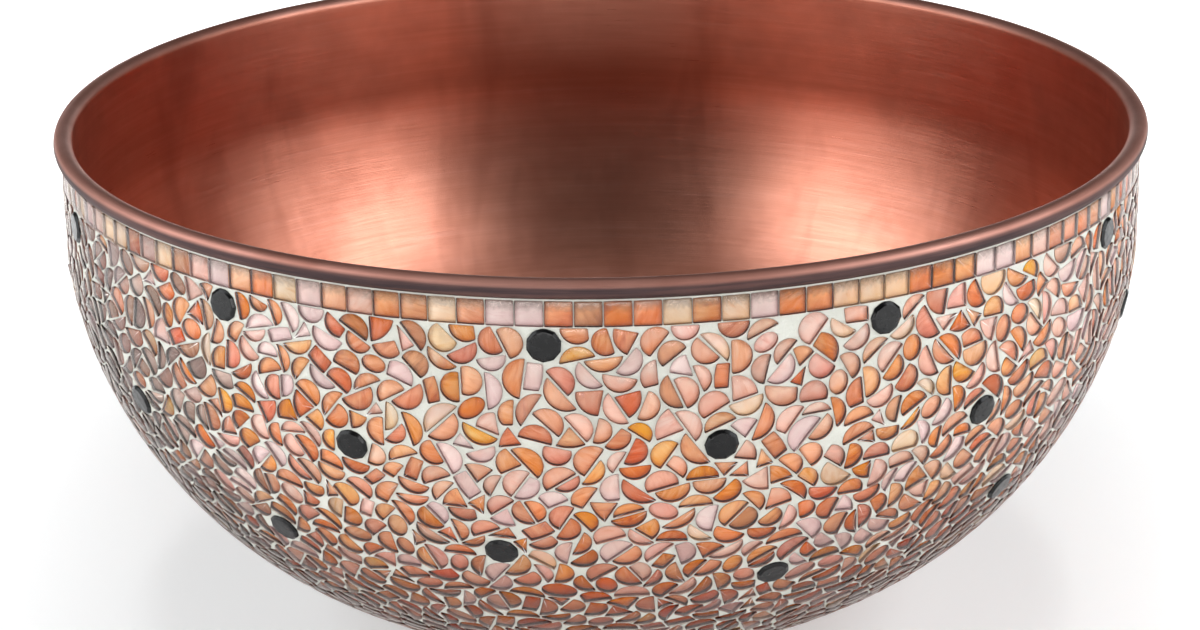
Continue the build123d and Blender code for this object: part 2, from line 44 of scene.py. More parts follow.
# ------------------------------------------------------------------ profile
# The same upright wall and three tangent arcs as the CAD, in millimetres.
RIM_R, BEAD_R, SHEET, FACE_R = 205.93, 3.50, 1.2, 203.4
BEAD_Z, WALL_Z = 191.5, 150.5
ARC1_R, ARC1_END = 78.0, math.radians(10.3)
ARC2_R, ARC2_END = 166.4, math.radians(57.8)
FIELD_FOOT_R, FOOT_R, FOOT_FILLET = 84.0, 81.0, 3.0
CHIP_T, BED_T = 1.8, 1.5
BEAD_C = RIM_R - BEAD_R
COPPER_OUT, COPPER_IN = -(CHIP_T + BED_T), -(CHIP_T + BED_T + SHEET)
C1 = np.array([FACE_R - ARC1_R, WALL_Z])


def ray(t):
    return np.array([math.cos(t), -math.sin(t)])


C2 = C1 + (ARC1_R - ARC2_R) * ray(ARC1_END)
ARC3_R = ARC2_R + C2[0] / math.cos(ARC2_END)
C3 = C2 + (ARC2_R - ARC3_R) * ray(ARC2_END)


def profile(off, top_z, foot_r, step):
    """(r, z) points down the profile offset by off, from top_z to radius foot_r."""
    pts = [(FACE_R + off, z) for z in np.arange(top_z, WALL_Z, -step)]
    for c, big, a, b in ((C1, ARC1_R + off, 0.0, ARC1_END),
                         (C2, ARC2_R + off, ARC1_END, ARC2_END)):
        n = max(2, int(round(big * (b - a) / step)))
        pts += [tuple(c + big * ray(t)) for t in np.linspace(a, b, n, endpoint=False)]
    big = ARC3_R + off
    end = math.acos(foot_r / big)
    n = max(2, int(round(big * (end - ARC2_END) / step)))
    pts += [tuple(C3 + big * ray(t)) for t in np.linspace(ARC2_END, end, n + 1)]
    return pts


def new_piece(name, verts, faces, mats, mat_index=None, smooth_angle=35.0):
    me = bpy.data.meshes.new(name)
    me.from_pydata([tuple(v) for v in verts], [], [tuple(f) for f in faces])
    for m in mats:
        me.materials.append(m)
    if mat_index is not None:
        me.polygons.foreach_set("material_index", np.asarray(mat_index, np.int32))
    me.polygons.foreach_set("use_smooth", [True] * len(me.polygons))
    me.update()
    if smooth_angle:
        me.set_sharp_from_angle(angle=math.radians(smooth_angle))
    ob = bpy.data.objects.new(name, me)
    scene.collection.objects.link(ob)
    return ob


def put_vector(me, name, values):
    at = me.attributes.new(name, "FLOAT_VECTOR", "POINT")
    at.data.foreach_set("vector", np.asarray(values, np.float32).ravel())


# ---------------------------------------------------------------- materials
def lin(rgb):
    return [((c / 255 + 0.055) / 1.055) ** 2.4 if c > 10 else c / 255 / 12.92 for c in rgb]


class Nodes:
    """Small helper that builds a node tree."""

    def __init__(self, name):
        self.mat = bpy.data.materials.new(name)
        self.mat.use_nodes = True
        self.t = self.mat.node_tree
        self.t.nodes.clear()
        self.out = self.t.nodes.new("ShaderNodeOutputMaterial")

    def add(self, kind, **inputs):
        n = self.t.nodes.new("ShaderNode" + kind)
        for key, value in inputs.items():
            if key.startswith("_"):
                setattr(n, key[1:], value)
                continue
            sock = n.inputs[key.replace("__", " ")] if not key.startswith("i") or not key[1:].isdigit() else n.inputs[int(key[1:])]
            self.set(sock, value)
        return n

    def set(self, sock, value):
        if isinstance(value, bpy.types.NodeSocket):
            self.t.links.new(value, sock)
        elif isinstance(value, bpy.types.Node):
            self.t.links.new(value.outputs[0], sock)
        elif isinstance(value, (list, tuple)) and len(value) == 3 and len(sock.default_value) == 4:
            sock.default_value = (*value, 1.0)
        else:
            sock.default_value = value

    def math(self, op, a, b=None, c=None, clamp=False):
        n = self.t.nodes.new("ShaderNodeMath")
        n.operation, n.use_clamp = op, clamp
        for i, v in enumerate((a, b, c)):
            if v is not None:
                self.set(n.inputs[i], v)
        return n.outputs[0]

    def vmath(self, op, a, b=None, scale=None):
        n = self.t.nodes.new("ShaderNodeVectorMath")
        n.operation = op
        self.set(n.inputs[0], a)
        if b is not None:
            self.set(n.inputs[1], b)
        if scale is not None:
            self.set(n.inputs["Scale"], scale)
        return n.outputs[0]

    def noise(self, vector, scale, detail=3.0, rough=0.55, distort=0.0, dims="3D"):
        n = self.t.nodes.new("ShaderNodeTexNoise")
        n.noise_dimensions = dims
        self.set(n.inputs["Vector"], vector)
        n.inputs["Scale"].default_value = scale
        n.inputs["Detail"].default_value = detail
        n.inputs["Roughness"].default_value = rough
        n.inputs["Distortion"].default_value = distort
        return n.outputs[0]

    def ramp(self, fac, stops, interp="LINEAR"):
        n = self.t.nodes.new("ShaderNodeValToRGB")
        n.color_ramp.interpolation = interp
        e = n.color_ramp.elements
        while len(e) < len(stops):
            e.new(0.5)
        for i, (p, c) in enumerate(stops):
            e[i].position = p
            e[i].color = (*c, 1.0) if not isinstance(c, (int, float)) else (c, c, c, 1.0)
        self.set(n.inputs[0], fac)
        return n.outputs[0]

    def mix(self, fac, a, b, blend="MIX"):
        n = self.t.nodes.new("ShaderNodeMix")
        n.data_type, n.blend_type = "RGBA", blend
        self.set(n.inputs[0], fac)
        self.set(n.inputs[6], a)
        self.set(n.inputs[7], b)
        return n.outputs[2]

    def maprange(self, v, a, b, c, d):
        n = self.t.nodes.new("ShaderNodeMapRange")
        for i, x in enumerate((v, a, b, c, d)):
            self.set(n.inputs[i], x)
        return n.outputs[0]

    def attr(self, name):
        n = self.t.nodes.new("ShaderNodeAttribute")
        n.attribute_name = name
        return n.outputs["Vector"]

    def xyz(self, v):
        n = self.t.nodes.new("ShaderNodeSeparateXYZ")
        self.set(n.inputs[0], v)
        return n.outputs[0], n.outputs[1], n.outputs[2]

    def combine(self, x, y, z):
        n = self.t.nodes.new("ShaderNodeCombineXYZ")
        for i, v in enumerate((x, y, z)):
            self.set(n.inputs[i], v)
        return n.outputs[0]

    def bump(self, height, strength, distance, normal=None):
        n = self.t.nodes.new("ShaderNodeBump")
        self.set(n.inputs["Height"], height)
        n.inputs["Strength"].default_value = strength
        n.inputs["Distance"].default_value = distance
        if normal is not None:
            self.set(n.inputs["Normal"], normal)
        return n.outputs[0]

    def principled(self, **kw):
        n = self.t.nodes.new("ShaderNodeBsdfPrincipled")
        for key, value in kw.items():
            self.set(n.inputs[key.replace("_", " ")], value)
        self.t.links.new(n.outputs[0], self.out.inputs[0])
        return n


def copper_material():
    """Spun copper rubbed to a satin: streaks run round the bowl, the hollow is
    browner than the rim, and the rolled rim is dull rose on top with painted
    shade on its underside. spun = (cos, sin, arc length in cm); zone.x = 0
    hollow, 1 roll; zone.y = painted underside shade on the roll, also added roughness."""
    m = Nodes("spun_copper")
    spun, zone = m.attr("spun"), m.attr("zone")
    sx, sy, sz = m.xyz(spun)
    zx, zy, zz = m.xyz(zone)
    def streak(around, along, scale, detail, seed=0.0):
        v = m.combine(m.math("MULTIPLY", sx, around), m.math("MULTIPLY", sy, around),
                      m.math("MULTIPLY_ADD", sz, along, seed))
        return m.noise(v, scale, detail, 0.6)
    fine = streak(9.0, 24.0, 1.0, 4.0)
    mid = streak(3.5, 5.0, 1.0, 4.0, 31.0)
    wide = streak(1.6, 0.55, 1.0, 3.0, 77.0)
    cloud = m.noise(m.add("TexCoord").outputs["Object"], 14.0, 4.0, 0.6)
    smear = m.noise(m.combine(m.math("MULTIPLY", sx, 5.0), m.math("MULTIPLY", sy, 5.0), m.math("MULTIPLY_ADD", sz, 0.10, 140.0)),
                    1.0, 3.0, 0.55, 0.6)
    base = m.ramp(mid, [(0.30, lin((210, 140, 116))), (0.55, lin((217, 147, 124))), (0.75, lin((222, 155, 134)))])
    base = m.mix(m.maprange(wide, 0.35, 0.65, 0.0, 0.50), base, lin((194, 126, 104)))
    base = m.mix(m.maprange(cloud, 0.46, 0.68, 0.0, 0.60), base, lin((164, 100, 80)))
    base = m.mix(m.maprange(smear, 0.52, 0.72, 0.0, 0.45), base, lin((150, 88, 70)))
    # the roll: dull rose on top, painted grey-brown shade underneath
    roll = m.mix(m.maprange(cloud, 0.40, 0.65, 0.0, 1.0), lin((194, 142, 128)), lin((164, 112, 98)))
    roll = m.mix(m.math("MULTIPLY", zy, m.maprange(mid, 0.35, 0.6, 0.85, 1.0)), roll, lin((68, 56, 57)))
    colour = m.mix(zx, base, roll)
    rough = m.maprange(fine, 0.3, 0.7, 0.27, 0.37)
    rough = m.math("ADD", rough, m.maprange(cloud, 0.4, 0.7, 0.0, 0.08))
    rough = m.math("ADD", rough, m.math("MULTIPLY", zx, 0.20))
    rough = m.math("ADD", rough, m.math("MULTIPLY", zy, 0.12))
    height = m.math("ADD", m.math("MULTIPLY", fine, 0.6), m.math("MULTIPLY", mid, 0.5))
    normal = m.bump(height, 0.14, 0.0004)
    m.principled(Base_Color=colour, Metallic=1.0, Roughness=rough, Normal=normal)
    return m.mat


def mortar_material():
    m = Nodes("white_grout")
    ob = m.add("TexCoord").outputs["Object"]
    grain = m.noise(ob, 2600.0, 4.0, 0.65)
    patch = m.noise(ob, 60.0, 4.0, 0.6)
    pores = m.noise(ob, 900.0, 2.0, 0.5)
    colour = m.ramp(patch, [(0.35, lin((192, 192, 183))), (0.6, lin((203, 203, 194))), (0.8, lin((210, 209, 202)))])
    colour = m.mix(m.maprange(grain, 0.35, 0.7, 0.25, 0.0), colour, lin((176, 174, 162)))
    rough = m.maprange(grain, 0.3, 0.7, 0.62, 0.85)
    h = m.math("ADD", m.math("MULTIPLY", grain, 0.5), pores)
    m.principled(Base_Color=colour, Roughness=rough, Normal=m.bump(h, 0.55, 0.0004))
    return m.mat


TINTS = {
    # body, a deeper tone (in the grain, and as painted shade toward the cut edge), pale streak
    "peach": ((244, 182, 134), (214, 124, 68), (252, 216, 188)),
    "apricot": ((234, 152, 88), (194, 94, 36), (250, 200, 152)),
    "coral": ((232, 156, 118), (196, 98, 60), (248, 198, 174)),
    "blush": ((248, 214, 206), (232, 178, 162), (250, 234, 230)),
    "pearl": ((242, 226, 230), (224, 198, 204), (250, 242, 244)),
    "cream": ((248, 230, 202), (236, 200, 152), (252, 244, 230)),
    "amber": ((250, 192, 100), (222, 132, 40), (252, 222, 166)),
    "umber": ((212, 142, 98), (156, 84, 48), (232, 178, 138)),
    "taupe": ((182, 158, 150), (132, 102, 94), (212, 194, 188)),
}


def shell_material(tint):
    """The coloured body of a shell chip, seen through its clear face: banded
    along the shell's grain, each chip its own tone. Painted shade deepens the
    colour toward its cut edge, darkens the cut wall and each piece's lower right,
    and dulls the tops of the border tiles under the rim; a painted grey sheen
    lies over one flank and painted shade darkens the pieces toward the base.
    edge.x runs from 0 on the flat of the body to 1 down the cut."""
    m = Nodes("shell_" + tint)
    base, deep, pale = (lin(c) for c in TINTS[tint])
    # how much darker the painted shade on the cut wall is, per tint
    depth = {"pearl": 0.50, "blush": 0.42, "cream": 0.40, "umber": 0.14, "taupe": 0.20}.get(tint, 0.16)
    cut_wall_shade = [depth * c ** 1.2 for c in deep[:3]] + [1.0]
    grain, tone, edge = m.attr("grain"), m.attr("tone"), m.attr("edge")
    gx, gy, gz = m.xyz(grain)
    tx, ty, tz = m.xyz(tone)
    ex, ey, lower_side_shade = m.xyz(edge)
    px, sheen_on_flank, low_shade = m.xyz(m.attr("wash"))
    v = m.combine(m.math("MULTIPLY", gx, 0.10), m.math("MULTIPLY", gy, 0.50), gz)
    bands = m.noise(v, 1.0, 3.0, 0.55, 0.8)
    soft = m.noise(m.combine(m.math("MULTIPLY", gx, 0.15), m.math("MULTIPLY", gy, 0.17), m.math("ADD", gz, 50.0)), 1.0, 2.0, 0.5)
    lines = m.noise(m.combine(m.math("MULTIPLY", gx, 0.14), m.math("MULTIPLY", gy, 2.4), m.math("ADD", gz, 90.0)), 1.0, 2.0, 0.5)
    colour = m.ramp(bands, [(0.26, deep), (0.46, base), (0.78, pale)])
    colour = m.mix(m.maprange(soft, 0.45, 0.72, 0.0, 0.6), colour, pale)
    colour = m.mix(m.maprange(lines, 0.60, 0.74, 0.0, 0.30), colour, deep)
    # every chip its own shade and warmth
    colour = m.mix(m.maprange(tx, 0.0, 1.0, 0.0, 0.5), colour, m.ramp(ty, [(0.0, deep), (0.45, base), (1.0, pale)]))
    colour = m.mix(m.math("MULTIPLY", px, 0.88), colour, m.ramp(soft, [(0.35, lin((244, 212, 202))), (0.65, lin((248, 232, 228)))]))
    # painted shade toward each piece's lower right
    colour = m.mix(m.maprange(lower_side_shade, 0.45, 1.0, 0.0, 0.60), colour, deep)
    # painted grey sheen over one flank
    colour = m.mix(sheen_on_flank, colour, m.ramp(bands, [(0.30, lin((88, 69, 67))), (0.55, lin((118, 99, 98))), (0.8, lin((154, 139, 140)))]))
    # painted shade toward the base
    colour = m.mix(low_shade, colour, (0.49, 0.26, 0.17, 1.0), blend="MULTIPLY")
    hsv = m.add("HueSaturation")
    m.set(hsv.inputs["Hue"], m.maprange(tz, 0.0, 1.0, 0.487, 0.511))
    m.set(hsv.inputs["Saturation"], m.maprange(ty, 0.0, 1.0, 1.24, 0.99))
    m.set(hsv.inputs["Value"], m.maprange(tx, 0.0, 1.0, 0.92, 1.14))
    m.set(hsv.inputs["Color"], colour)
    # painted shade: the colour deepens toward the cut edge, then the cut wall goes much darker
    colour = m.mix(m.maprange(ex, 0.0, 0.45, 0.0, 0.85), hsv.outputs[0], deep)
    rag = m.noise(m.vmath("SCALE", grain, scale=0.9), 1.0, 2.0, 0.6)
    cut = m.math("ADD", ex, m.maprange(rag, 0.3, 0.7, -0.12, 0.12))
    colour = m.mix(m.maprange(cut, 0.50, 0.80, 0.0, 1.0), colour, cut_wall_shade)
    # painted shadow of the rolled rim over the tops of the border tiles
    rim_shadow = m.math("ADD", ey, m.maprange(rag, 0.3, 0.7, -0.08, 0.08))
    colour = m.mix(m.maprange(rim_shadow, 0.52, 0.98, 0.0, 0.78), colour, lin((102, 88, 82)))
    rough = m.maprange(bands, 0.3, 0.7, 0.30, 0.5)
    p = m.principled(Base_Color=colour, Roughness=rough, Normal=m.bump(bands, 0.12, 0.0003))
    p.inputs["Specular IOR Level"].default_value = 0.15
    return m.mat


def glaze_material():
    """The clear polished face of a chip: lets light through, mirrors a little,
    with fine wear so that no two chips catch the light alike."""
    m = Nodes("clear_face")
    ob = m.add("TexCoord").outputs["Object"]
    grain = m.attr("grain")
    wave = m.noise(m.vmath("SCALE", grain, scale=0.22), 1.0, 2.0, 0.5)
    fine = m.noise(ob, 1500.0, 3.0, 0.6)
    normal = m.bump(m.math("ADD", wave, m.math("MULTIPLY", fine, 0.06)), 0.30, 0.0009)
    clear = m.add("BsdfTransparent", Color=lin((250, 244, 238)))
    gloss = m.t.nodes.new("ShaderNodeBsdfGlossy")
    m.set(gloss.inputs["Color"], (0.79, 0.74, 0.71, 1.0))
    m.set(gloss.inputs["Roughness"], m.maprange(fine, 0.3, 0.7, 0.10, 0.24))
    m.set(gloss.inputs["Normal"], normal)
    fres = m.add("Fresnel")
    fres.inputs["IOR"].default_value = 1.52
    m.set(fres.inputs["Normal"], normal)
    mixer = m.t.nodes.new("ShaderNodeMixShader")
    m.set(mixer.inputs[0], fres.outputs[0])
    m.t.links.new(clear.outputs[0], mixer.inputs[1])
    m.t.links.new(gloss.outputs[0], mixer.inputs[2])
    m.t.links.new(mixer.outputs[0], m.out.inputs[0])
    return m.mat


def stone_material():
    m = Nodes("black_stone")
    ob = m.add("TexCoord").outputs["Object"]
    n = m.noise(ob, 420.0, 4.0, 0.6)
    w = m.noise(ob, 130.0, 2.0, 0.5)
    colour = m.ramp(n, [(0.35, (0.002, 0.002, 0.0022)), (0.7, (0.007, 0.0065, 0.0065))])
    rough = m.maprange(n, 0.3, 0.7, 0.16, 0.32)
    p = m.principled(Base_Color=colour, Roughness=rough,
                 Normal=m.bump(m.math("ADD", w, m.math("MULTIPLY", n, 0.15)), 0.35, 0.0012))
    p.inputs["Specular IOR Level"].default_value = 0.26
    return m.mat


def wire_material():
    m = Nodes("rim_wire_steel")
    n = m.noise(m.add("TexCoord").outputs["Object"], 300.0, 3.0, 0.6)
    m.principled(Base_Color=m.ramp(n, [(0.3, (0.30, 0.30, 0.31)), (0.7, (0.5, 0.5, 0.5))]), Metallic=1.0,
                 Roughness=m.maprange(n, 0.3, 0.7, 0.3, 0.5))
    return m.mat


COPPER, GROUT, GLAZE, STONE = copper_material(), mortar_material(), glaze_material(), stone_material()
BODY = {t: shell_material(t) for t in TINTS}

# ------------------------------------------------------------- copper basin
def bead_arc(radius, a0, a1, n):
    return [(BEAD_C + radius * math.cos(t), BEAD_Z + radius * math.sin(t))
            for t in np.radians(np.linspace(a0, a1, n))]


def foot_arc(off, n=8):
    fr = FOOT_FILLET
    return [(FOOT_R - fr + (fr + off) * math.cos(t), fr - (fr + off) * math.sin(t))
            for t in np.linspace(0, math.pi / 2, n)]


def lathe(name, loop, n, mats, closed=True, attrs=True, smooth=35.0):
    """A mesh turned from a loop of (r, z, zone x, zone y) points in mm; a
    point on the axis becomes one vertex."""
    verts, rings, spun, zone = [], [], [], []
    run, last = 0.0, loop[0]
    ang = np.arange(n) * 2 * math.pi / n
    ca, sa = np.cos(ang), np.sin(ang)
    for p in loop:
        run += math.hypot(p[0] - last[0], p[1] - last[1])
        last = p
        if p[0] < 1e-6:
            rings.append([len(verts)])
            verts.append((0, 0, p[1] * MM))
            spun.append((0, 0, run / 10))
            zone.append((p[2], p[3], 0))
        else:
            rings.append(list(range(len(verts), len(verts) + n)))
            verts += list(zip(p[0] * MM * ca, p[0] * MM * sa, np.full(n, p[1] * MM)))
            # close to the axis the streaks give way to plain rings
            k = min(1.0, p[0] / 95.0)
            spun += list(zip(k * ca, k * sa, np.full(n, run / 10)))
            zone += [(p[2], p[3], 0)] * n
    faces = []
    for k in range(len(rings) if closed else len(rings) - 1):
        a, b = rings[k], rings[(k + 1) % len(rings)]
        if len(a) == 1 and len(b) == 1:
            continue
        for i in range(n):
            j = (i + 1) % n
            if len(a) == 1:
                faces.append((a[0], b[j], b[i]))
            elif len(b) == 1:
                faces.append((a[i], a[j], b[0]))
            else:
                faces.append((a[i], a[j], b[j], b[i]))
    ob = new_piece(name, verts, faces, mats, smooth_angle=smooth)
    if attrs:
        put_vector(ob.data, "spun", spun)
        put_vector(ob.data, "zone", zone)
    return ob


def under(z):
    """How much painted underside shade a point on the bead carries."""
    return min(1.0, max(0.0, (BEAD_Z + 1.9 - z) / 1.2))


loop = []
flat_in = [(r, SHEET) for r in np.linspace(0, FOOT_R - FOOT_FILLET - 1, 40)]
loop += [(r, z, 0, 0) for r, z in flat_in]
loop += [(r, z, 0, 0) for r, z in foot_arc(-SHEET)[::-1]]
inner = profile(COPPER_IN, BEAD_Z - 0.5, FIELD_FOOT_R - 1.2 - SHEET, 1.6)[::-1]
loop += [(r, z, 0, 0) for r, z in inner]
# the lower part of the roll carries painted shade through zone.y
for k, (r, z) in enumerate(bead_arc(BEAD_R, 180, -120, 46)):
    loop.append((r, z, min(1.0, k / 5.0), under(z) if r > BEAD_C - 2.0 else 0.0))
for r, z in bead_arc(BEAD_R - SHEET, -120, 180, 30):
    loop.append((r, z, 1, 1))
outer = profile(COPPER_OUT, BEAD_Z - 0.5, FIELD_FOOT_R - 1.2, 2.4)
loop += [(r, z, 0, 0.6) for r, z in outer]
loop += [(r, z, 0, 0.5) for r, z in foot_arc(0.0)]
loop += [(r, 0.0, 0, 0.4) for r in np.linspace(FOOT_R - FOOT_FILLET - 1, 0, 30)]
copper = lathe("bowl_shell", loop, 512, [COPPER])
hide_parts("copper_basin")
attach(copper, "root")

wire_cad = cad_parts["rim_wire"]
wire_cad.data.materials.clear()
wire_cad.data.materials.append(wire_material())


# ------------------------------------------------------- chips from the CAD
def islands(ob):
    """Welded vertices of each separate solid of a CAD node, in mm."""
    me = ob.data
    co = np.zeros(len(me.vertices) * 3)
    me.vertices.foreach_get("co", co)
    co = co.reshape(-1, 3) / MM
    key = np.round(co * 1000).astype(np.int64)
    uniq, first, inv = np.unique(key, axis=0, return_index=True, return_inverse=True)
    inv = inv.ravel()
    pts = co[first]
    edges = np.zeros(len(me.edges) * 2, np.int64)
    me.edges.foreach_get("vertices", edges)
    e = inv[edges.reshape(-1, 2)]
    label = np.arange(len(pts))
    while True:
        low = np.minimum(label[e[:, 0]], label[e[:, 1]])
        new = label.copy()
        np.minimum.at(new, e[:, 0], low)
        np.minimum.at(new, e[:, 1], low)
        new = new[new]
        if (new == label).all():
            break
        label = new
    order = np.argsort(label, kind="stable")
    cuts = np.flatnonzero(np.diff(label[order])) + 1
    groups = np.split(order, cuts)
    return [pts[g] for g in groups]


def flat_frame(p):
    """Centre of the back face, sideways, uphill and outward unit vectors."""
    c = p.mean(0)
    _, _, vt = np.linalg.svd(p - c)
    n = vt[2]
    out = np.array([c[0], c[1], c[2] - 150.0])
    # a chip is thinner than it is wide, so its normal is the least spread
    if n @ out < 0:
        n = -n
    side = np.array([-c[1], c[0], 0.0])
    side /= np.linalg.norm(side)
    side -= (side @ n) * n
    side /= np.linalg.norm(side)
    up = np.cross(n, side)
    h = (p - c) @ n
    return c + n * h.min(), side, up, n, h.max() - h.min()


def outline_of(p, frame_, m, sigma, grow):
    """The front face's outline as m points, counter-clockwise, its facets
    eased and its corners slightly blunted."""
    o, side, up, n, t = frame_
    h = (p - o) @ n
    q = p[h > t - 0.12] - o
    xy = np.stack([q @ side, q @ up], 1)
    mid = (xy.max(0) + xy.min(0)) / 2
    a = np.arctan2(xy[:, 1] - mid[1], xy[:, 0] - mid[0])
    xy = xy[np.argsort(a)]
    nxt = np.roll(xy, -1, 0)
    seg = np.hypot(*(nxt - xy).T)
    run = np.concatenate([[0], np.cumsum(seg)])
    fine = 96
    u = (np.arange(fine) + 0.5) * run[-1] / fine
    closed = np.concatenate([xy, xy[:1]])
    f = np.stack([np.interp(u, run, closed[:, 0]), np.interp(u, run, closed[:, 1])], 1)
    w = int(max(1, round(3 * sigma / (run[-1] / fine))))
    ker = np.exp(-0.5 * (np.arange(-w, w + 1) * (run[-1] / fine) / sigma) ** 2)
    ker /= ker.sum()
    sm = sum(k * np.roll(f, j, 0) for j, k in zip(range(-w, w + 1), ker))
    area = lambda z: 0.5 * abs(np.dot(z[:, 0], np.roll(z[:, 1], -1)) - np.dot(z[:, 1], np.roll(z[:, 0], -1)))
    c = sm.mean(0)
    sm = c + (sm - c) * math.sqrt(area(f) / area(sm)) * grow
    # resample so that points crowd where the outline turns
    d1 = np.roll(sm, -1, 0) - sm
    d0 = sm - np.roll(sm, 1, 0)
    turn = np.abs(np.arctan2(d0[:, 0] * d1[:, 1] - d0[:, 1] * d1[:, 0], (d0 * d1).sum(1)))
    wgt = np.hypot(*d1.T) / run[-1] + 0.55 * turn / max(1e-6, turn.sum())
    cum = np.concatenate([[0], np.cumsum(wgt)])
    v = (np.arange(m) + 0.5) * cum[-1] / m
    cl = np.concatenate([sm, sm[:1]])
    return np.stack([np.interp(v, cum, cl[:, 0]), np.interp(v, cum, cl[:, 1])], 1)


def inset(ring, d):
    """A ring of 2-D points moved inward by d along its own normals."""
    tan = np.roll(ring, -1, 0) - np.roll(ring, 1, 0)
    tan /= np.maximum(1e-9, np.hypot(tan[:, 0], tan[:, 1]))[:, None]
    return ring + np.stack([-tan[:, 1], tan[:, 0]], 1) * d


GROUT_H = 1.26      # grout level above the chip backs
FLOOR_H = 0.28      # where a chip's colour lies, under its clear face
rng = np.random.default_rng(5)
cutters = []        # every pocket the grout is cut by


def build_chips(node, tint, m, tile=False):
    verts, faces, mats, grain, tone, edge, wash = [], [], [], [], [], [], []
    for p in islands(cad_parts[node]):
        fr = flat_frame(p)
        o, side, up, n, t = fr
        ring = outline_of(p, fr, m, 0.16 if tile else 0.30, 1.0)
        if tile:
            ring = inset(ring, -0.09)
        tall = ring[:, 1].max() - ring[:, 1].min()
        cutters.append((o, side, up, n, ring, 0.10))
        # a hand-set piece sits a touch out of true
        lean = rng.normal(0, 0.010, 2)
        lift = rng.normal(0, 0.03)
        mid = ring.mean(0)
        gid = float(rng.uniform(0, 400))
        ga = rng.uniform(0, math.pi)
        tn = rng.uniform(size=3)
        # some stretches of the field were laid with paler pieces
        az, rise = math.atan2(o[0], -o[1]), o[2] / 100.0
        drift = (math.sin(2.3 * az + 1.7 * rise + 3.46) + math.sin(5.1 * az - 4.1 * rise + 0.94)
                 + math.sin(9.0 * az + 3.0 * rise) * 0.7) / 2.7
        pale = 0.33 + 0.34 * drift + rng.normal(0, 0.24)
        pale = float(1 / (1 + math.exp(-9 * (pale - 0.5)))) * (0.4 if tile else 0.9)
        # a painted grey sheen over one flank; painted shade darkens the pieces toward the base
        off = (math.degrees(az) + 84 + rng.normal(0, 7)) / 39
        flank_sheen = float(np.clip(2.6 - 2.35 * abs(off), 0.0, 1.0)) * float(rng.uniform(0.72, 1.0)) * (0.6 if tile else 1.0)
        low = float(np.clip((116 - o[2]) / 68 + rng.normal(0, 0.10), 0.0, 1.0))
        base = len(verts)
        shrink = inset(ring, 0.03)
        # the body lies flat; edge.x rises from its middle to the cut, which carries painted shade: deeper colour toward
        # the cut edge and a darkened cut wall
        levels = [(mid + (ring - mid) * 0.60, FLOOR_H, 0.0), (mid + (ring - mid) * 0.84, FLOOR_H, 0.10),
                  (shrink, FLOOR_H, 0.34), (shrink, FLOOR_H, 1.0),
                  (shrink, GROUT_H + 0.03, 1.0),
                  (shrink, GROUT_H + 0.03, 0.0), (shrink, t - 0.24, 0.0),
                  (inset(ring, 0.12), t - 0.08, 0.0), (inset(ring, 0.32), t, 0.0)]

        def add(x, y, h, e):
            slope = (lean[0] * (x - mid[0]) + lean[1] * (y - mid[1]) + lift) * (1 if h > GROUT_H + 0.1 else 0.3)
            verts.append((o + side * x + up * y + n * (h + slope)) * MM)
            cx, cy = x - mid[0], y - mid[1]
            grain.append((cx * math.cos(ga) - cy * math.sin(ga), cx * math.sin(ga) + cy * math.cos(ga), gid))
            tone.append(tn)
            # edge.y: how near a border tile's body is to the rolled rim above, for the rim's painted shadow;
            # edge.z: how far toward its lower right a point lies, for painted shade
            edge.append((e, max(0.0, (cy + tall / 2) / tall) if tile else 0.0,
                         min(1.0, max(0.0, 0.5 - (cy - 0.35 * cx) / tall))))
            # wash = (paleness, less where the painted low shade lies; painted flank sheen; painted low shade)
            wash.append((pale * (1 - 0.8 * low), flank_sheen, low))
        for ring_k, h, e in levels:
            for x, y in ring_k:
                add(x, y, h, e)
        c_floor = len(verts)
        add(mid[0], mid[1], FLOOR_H, 0.0)
        c_top = len(verts)
        add(mid[0], mid[1], t + 0.05, 0.0)
        r = lambda k, i: base + k * m + i % m
        for i in range(m):
            faces.append((c_floor, r(0, i), r(0, i + 1)))
            mats.append(0)
            for k in (0, 1, 3):
                faces.append((r(k, i), r(k + 1, i), r(k + 1, i + 1), r(k, i + 1)))
                mats.append(0)
            for k in (5, 6, 7):
                faces.append((r(k, i), r(k, i + 1), r(k + 1, i + 1), r(k + 1, i)))
                mats.append(1)
            faces.append((c_top, r(8, i), r(8, i + 1)))
            mats.append(1)
    ob = new_piece("mosaic_" + node, verts, faces, [BODY[tint], GLAZE], mats, 40.0)
    put_vector(ob.data, "grain", grain)
    put_vector(ob.data, "tone", tone)
    put_vector(ob.data, "edge", edge)
    put_vector(ob.data, "wash", wash)
    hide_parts(node)
    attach(ob, "root")
    return ob


